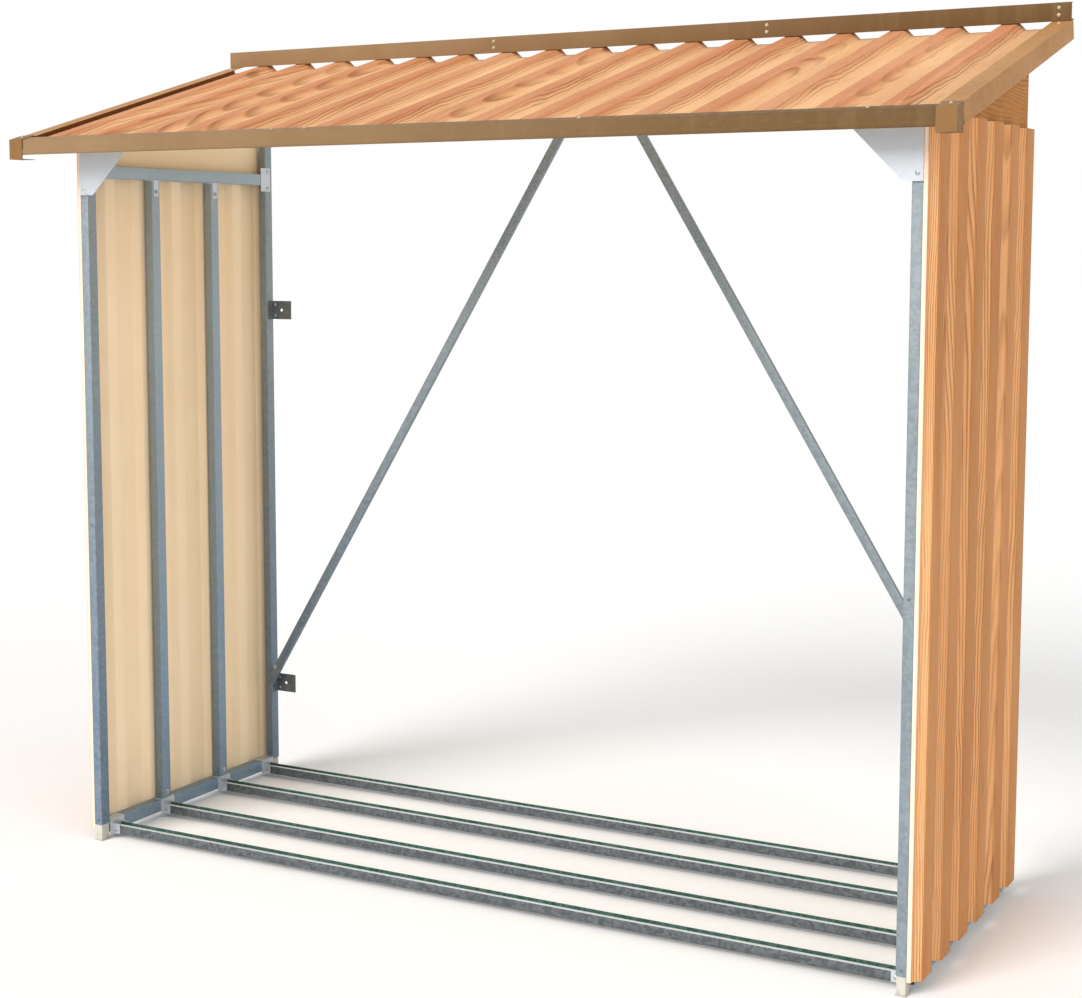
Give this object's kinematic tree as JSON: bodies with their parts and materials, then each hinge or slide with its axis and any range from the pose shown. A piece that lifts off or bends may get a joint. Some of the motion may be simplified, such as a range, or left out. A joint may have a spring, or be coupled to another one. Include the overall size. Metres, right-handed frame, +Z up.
{
  "type": "log store",
  "caption": "Open-fronted metal log store with a galvanised channel frame, ribbed wood-print side walls and a ribbed lean-to roof falling to the front.",
  "frame": {"origin": "on the ground at the centre of the store's outer box", "axes": "+X along the width from the left wall to the right wall, +Y from the open front to the back, +Z up"},
  "size_m": [2.4548, 0.952, 2.1562],
  "materials": {
    "galvanised_frame": "matt galvanised",
    "zinc_fittings": "bright zinc",
    "foot_moulding": "matt",
    "wood_print_sheet": "satin wood-grain print outside, cream paint inside",
    "tan_trim": "satin paint"
  },
  "bodies": {
    "root": {"front_left_post": "galvanised_frame", "front_right_post": "galvanised_frame", "rear_left_post": "galvanised_frame", "rear_right_post": "galvanised_frame", "left_feet": "foot_moulding", "right_feet": "foot_moulding", "left_front_stud": "galvanised_frame", "left_rear_stud": "galvanised_frame", "right_front_stud": "galvanised_frame", "right_rear_stud": "galvanised_frame", "left_base_rail": "galvanised_frame", "right_base_rail": "galvanised_frame", "left_top_rail": "galvanised_frame", "right_top_rail": "galvanised_frame", "floor_rail_1": "galvanised_frame", "floor_rail_2": "galvanised_frame", "floor_rail_3": "galvanised_frame", "floor_rail_4": "galvanised_frame", "floor_rail_clips": "zinc_fittings", "left_joint_plates": "zinc_fittings", "right_joint_plates": "zinc_fittings", "left_gusset": "zinc_fittings", "right_gusset": "zinc_fittings", "left_brace": "galvanised_frame", "right_brace": "galvanised_frame", "left_wall_fixings": "zinc_fittings", "right_wall_fixings": "zinc_fittings", "front_header": "galvanised_frame", "rear_header": "galvanised_frame", "left_rafter": "galvanised_frame", "right_rafter": "galvanised_frame", "left_wall_sheet": "wood_print_sheet", "right_wall_sheet": "wood_print_sheet", "left_gable": "wood_print_sheet", "right_gable": "wood_print_sheet", "roof_sheet_left": "wood_print_sheet", "roof_sheet_middle": "wood_print_sheet", "roof_sheet_right": "wood_print_sheet", "front_fascia": "tan_trim", "rear_trim": "tan_trim", "left_rake_trim": "tan_trim", "right_rake_trim": "tan_trim", "corner_caps": "tan_trim"}
  },
  "joints": []
}
